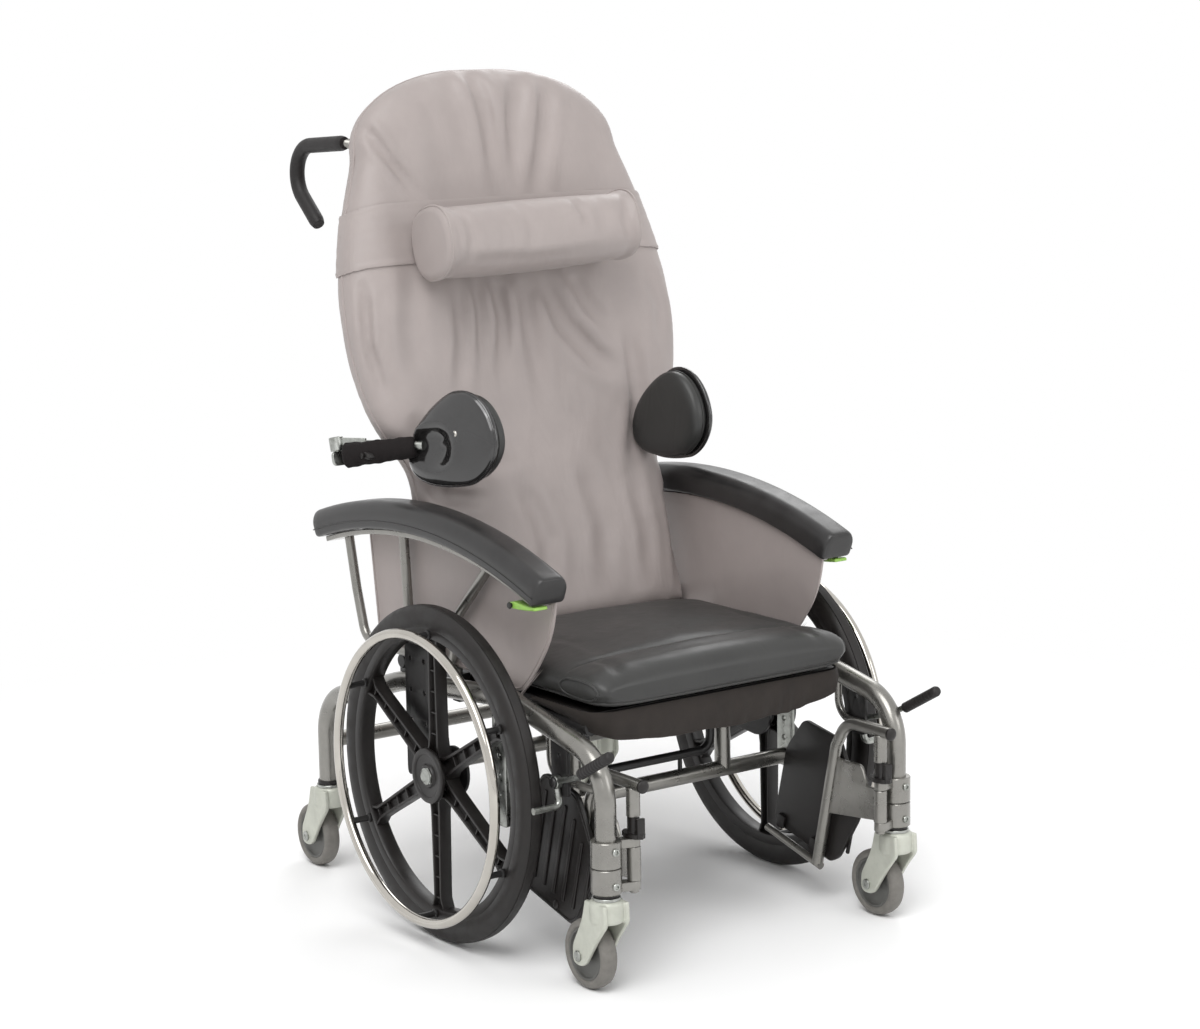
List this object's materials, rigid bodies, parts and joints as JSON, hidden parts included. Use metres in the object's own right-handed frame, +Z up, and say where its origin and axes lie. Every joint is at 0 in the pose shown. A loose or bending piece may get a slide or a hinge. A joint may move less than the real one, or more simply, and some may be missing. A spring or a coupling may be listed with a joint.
{
  "type": "tilt in space wheelchair",
  "caption": "Wheelchair with a tilting seat, reclining back, head pillow, lateral supports, mag drive wheels, swivel casters, padded arms and swing-away footrests folded to the sides.",
  "frame": {"origin": "on the floor, under the middle of the chair's bounding box", "axes": "+Z up, -Y the way the chair faces, +X towards the occupant's left"},
  "size_m": [0.733, 0.9474, 1.282],
  "materials": {
    "pewter_paint": "pewter grey metallic paint on steel tube",
    "dark_steel": "satin black paint on steel",
    "bright_steel": "zinc-plated steel with a black grip",
    "chrome": "bright chrome plate",
    "cast_alloy": "cast aluminium, light silver coat",
    "black_plastic": "moulded black nylon, satin",
    "drive_tyre": "dark grey solid tyre, matt",
    "caster_rubber": "grey solid rubber on a grey core",
    "arm_foam": "integral-skin foam, matt dark grey",
    "lime_plastic": "lime green plastic",
    "gloss_shell": "glossy black moulding",
    "grey_vinyl": "warm grey vinyl over foam",
    "dark_vinyl": "charcoal vinyl over foam",
    "dark_cloth": "dark brown-black woven cloth"
  },
  "bodies": {
    "base": {"front_crossbar": "dark_steel", "axle_crossbar": "pewter_paint", "rear_crossbar": "pewter_paint", "side_frame_right": "pewter_paint", "axle_plate_right": "dark_steel", "footrest_clamp_right": "pewter_paint", "side_frame_left": "pewter_paint", "axle_plate_left": "dark_steel", "footrest_clamp_left": "pewter_paint"},
    "drive_wheel_right": {"mag_wheel_right": "black_plastic", "tyre_right": "drive_tyre", "handrim_right": "chrome"},
    "caster_front_right": {"caster_fork_front_right": "cast_alloy"},
    "caster_roller_front_right": {"caster_wheel_front_right": "caster_rubber"},
    "caster_rear_right": {"caster_fork_rear_right": "cast_alloy"},
    "caster_roller_rear_right": {"caster_wheel_rear_right": "caster_rubber"},
    "wheel_lock_right": {"wheel_lock_lever_right": "bright_steel"},
    "footrest_right": {"footrest_hanger_right": "pewter_paint"},
    "footplate_right": {"footplate_right": "black_plastic"},
    "footrest_latch_right": {"footrest_latch_right": "black_plastic"},
    "drive_wheel_left": {"mag_wheel_left": "black_plastic", "tyre_left": "drive_tyre", "handrim_left": "chrome"},
    "caster_front_left": {"caster_fork_front_left": "cast_alloy"},
    "caster_roller_front_left": {"caster_wheel_front_left": "caster_rubber"},
    "caster_rear_left": {"caster_fork_rear_left": "cast_alloy"},
    "caster_roller_rear_left": {"caster_wheel_rear_left": "caster_rubber"},
    "wheel_lock_left": {"wheel_lock_lever_left": "bright_steel"},
    "footrest_left": {"footrest_hanger_left": "pewter_paint"},
    "footplate_left": {"footplate_left": "black_plastic"},
    "footrest_latch_left": {"footrest_latch_left": "black_plastic"},
    "seat": {"seat_frame": "dark_steel", "seat_pan": "black_plastic", "seat_cushion": "dark_vinyl", "seat_skirt": "dark_cloth"},
    "arm_right": {"arm_frame_right": "pewter_paint", "arm_pad_right": "arm_foam", "side_panel_right": "grey_vinyl"},
    "arm_lever_right": {"arm_lever_right": "lime_plastic"},
    "arm_left": {"arm_frame_left": "pewter_paint", "arm_pad_left": "arm_foam", "side_panel_left": "grey_vinyl"},
    "arm_lever_left": {"arm_lever_left": "lime_plastic"},
    "back": {"back_frame": "pewter_paint", "back_cover": "grey_vinyl", "head_pillow": "grey_vinyl", "head_strap": "grey_vinyl", "push_grip_right": "arm_foam", "push_grip_left": "arm_foam"},
    "lateral_right": {"lateral_arm_right": "dark_steel", "lateral_shell_right": "gloss_shell", "lateral_pad_right": "dark_vinyl"},
    "lateral_left": {"lateral_arm_left": "dark_steel", "lateral_shell_left": "gloss_shell", "lateral_pad_left": "dark_vinyl"},
    "tilt_cylinder": {"tilt_cylinder": "dark_steel"},
    "tilt_rod": {"tilt_rod": "chrome"},
    "recline_cylinder": {"recline_cylinder": "dark_steel"},
    "recline_rod": {"recline_rod": "chrome"}
  },
  "joints": [
    {"name": "drive_wheel_spin_right", "type": "hinge", "parent": "base", "child": "drive_wheel_right", "pos_m": [-0.314, -0.05279, 0.254], "axis": [1, 0, 0], "continuous": true},
    {"name": "caster_swivel_front_right", "type": "hinge", "parent": "base", "child": "caster_front_right", "pos_m": [-0.269, -0.41079, 0.145], "axis": [0, 0, 1], "continuous": true},
    {"name": "caster_roll_front_right", "type": "hinge", "parent": "caster_front_right", "child": "caster_roller_front_right", "pos_m": [-0.269, -0.37029, 0.051], "axis": [1, 0, 0], "continuous": true},
    {"name": "caster_swivel_rear_right", "type": "hinge", "parent": "base", "child": "caster_rear_right", "pos_m": [-0.269, 0.35421, 0.145], "axis": [0, 0, 1], "continuous": true},
    {"name": "caster_roll_rear_right", "type": "hinge", "parent": "caster_rear_right", "child": "caster_roller_rear_right", "pos_m": [-0.269, 0.39471, 0.051], "axis": [1, 0, 0], "continuous": true},
    {"name": "wheel_lock_turn_right", "type": "hinge", "parent": "base", "child": "wheel_lock_right", "pos_m": [-0.285, -0.31479, 0.292], "axis": [1, 0, 0], "range_deg": [0, 15]},
    {"name": "footrest_swing_right", "type": "hinge", "parent": "base", "child": "footrest_right", "pos_m": [-0.229, -0.42179, 0.2], "axis": [0, 0, -1], "range_deg": [0, 180]},
    {"name": "footplate_flip_right", "type": "hinge", "parent": "footrest_right", "child": "footplate_right", "pos_m": [-0.229, -0.27479, 0.064], "axis": [0, -0.9686, -0.2487], "range_deg": [0, 90]},
    {"name": "latch_turn_right", "type": "hinge", "parent": "footrest_right", "child": "footrest_latch_right", "pos_m": [-0.229, -0.42179, 0.24], "axis": [0, 0, 1], "range_deg": [0, 30]},
    {"name": "drive_wheel_spin_left", "type": "hinge", "parent": "base", "child": "drive_wheel_left", "pos_m": [0.314, -0.05279, 0.254], "axis": [1, 0, 0], "continuous": true},
    {"name": "caster_swivel_front_left", "type": "hinge", "parent": "base", "child": "caster_front_left", "pos_m": [0.269, -0.41079, 0.145], "axis": [0, 0, 1], "continuous": true},
    {"name": "caster_roll_front_left", "type": "hinge", "parent": "caster_front_left", "child": "caster_roller_front_left", "pos_m": [0.269, -0.37029, 0.051], "axis": [1, 0, 0], "continuous": true},
    {"name": "caster_swivel_rear_left", "type": "hinge", "parent": "base", "child": "caster_rear_left", "pos_m": [0.269, 0.35421, 0.145], "axis": [0, 0, 1], "continuous": true},
    {"name": "caster_roll_rear_left", "type": "hinge", "parent": "caster_rear_left", "child": "caster_roller_rear_left", "pos_m": [0.269, 0.39471, 0.051], "axis": [1, 0, 0], "continuous": true},
    {"name": "wheel_lock_turn_left", "type": "hinge", "parent": "base", "child": "wheel_lock_left", "pos_m": [0.285, -0.31479, 0.292], "axis": [1, 0, 0], "range_deg": [0, 15]},
    {"name": "footrest_swing_left", "type": "hinge", "parent": "base", "child": "footrest_left", "pos_m": [0.229, -0.42179, 0.2], "axis": [0, 0, 1], "range_deg": [0, 180]},
    {"name": "footplate_flip_left", "type": "hinge", "parent": "footrest_left", "child": "footplate_left", "pos_m": [0.229, -0.27479, 0.064], "axis": [0, 0.9686, 0.2487], "range_deg": [0, 90]},
    {"name": "latch_turn_left", "type": "hinge", "parent": "footrest_left", "child": "footrest_latch_left", "pos_m": [0.229, -0.42179, 0.24], "axis": [0, 0, 1], "range_deg": [0, 30]},
    {"name": "seat_tilt", "type": "hinge", "parent": "base", "child": "seat", "pos_m": [0, 0.13221, 0.385], "axis": [-1, 0, 0], "range_deg": [0, 30]},
    {"name": "arm_lift_right", "type": "slide", "parent": "seat", "child": "arm_right", "axis": [0, 0, 1], "range_m": [0, 0.012]},
    {"name": "arm_lever_turn_right", "type": "hinge", "parent": "arm_right", "child": "arm_lever_right", "pos_m": [-0.279, -0.21779, 0.533], "axis": [1, 0, 0], "range_deg": [0, 20]},
    {"name": "arm_lift_left", "type": "slide", "parent": "seat", "child": "arm_left", "axis": [0, 0, 1], "range_m": [0, 0.012]},
    {"name": "arm_lever_turn_left", "type": "hinge", "parent": "arm_left", "child": "arm_lever_left", "pos_m": [0.279, -0.21779, 0.533], "axis": [1, 0, 0], "range_deg": [0, 20]},
    {"name": "back_recline", "type": "hinge", "parent": "seat", "child": "back", "pos_m": [0, 0.09721, 0.425], "axis": [-1, 0, 0], "range_deg": [0, 20]},
    {"name": "lateral_swing_right", "type": "hinge", "parent": "back", "child": "lateral_right", "pos_m": [-0.328, 0.19411, 0.7222], "axis": [0, -0.2504, -0.9681], "range_deg": [0, 90]},
    {"name": "lateral_swing_left", "type": "hinge", "parent": "back", "child": "lateral_left", "pos_m": [0.328, 0.19411, 0.7222], "axis": [0, 0.2504, 0.9681], "range_deg": [0, 90]},
    {"name": "tilt_cylinder_turn", "type": "hinge", "parent": "base", "child": "tilt_cylinder", "pos_m": [-0.04, 0.05721, 0.2635], "axis": [-1, 0, 0], "range_deg": [0, 31.2]},
    {"name": "tilt_rod_slide", "type": "slide", "parent": "tilt_cylinder", "child": "tilt_rod", "axis": [0, -0.972, 0.2349], "range_m": [0, 0.0735]},
    {"name": "recline_cylinder_turn", "type": "hinge", "parent": "seat", "child": "recline_cylinder", "pos_m": [0.04, -0.12279, 0.34], "axis": [1, 0, 0], "range_deg": [0, 1.6]},
    {"name": "recline_rod_slide", "type": "slide", "parent": "recline_cylinder", "child": "recline_rod", "axis": [0, 0.9983, 0.059], "range_m": [-0.025, 0]}
  ],
  "couplings": [
    {"joint": "footplate_flip_right", "follows": "footrest_swing_right", "ratio": 0.5},
    {"joint": "footplate_flip_left", "follows": "footrest_swing_left", "ratio": 0.5},
    {"joint": "tilt_cylinder_turn", "follows": "seat_tilt", "ratio": 1.0353},
    {"joint": "tilt_rod_slide", "follows": "seat_tilt", "m_per_rad": 0.13958},
    {"joint": "recline_cylinder_turn", "follows": "back_recline", "ratio": 0.07608},
    {"joint": "recline_rod_slide", "follows": "back_recline", "m_per_rad": -0.071182}
  ]
}
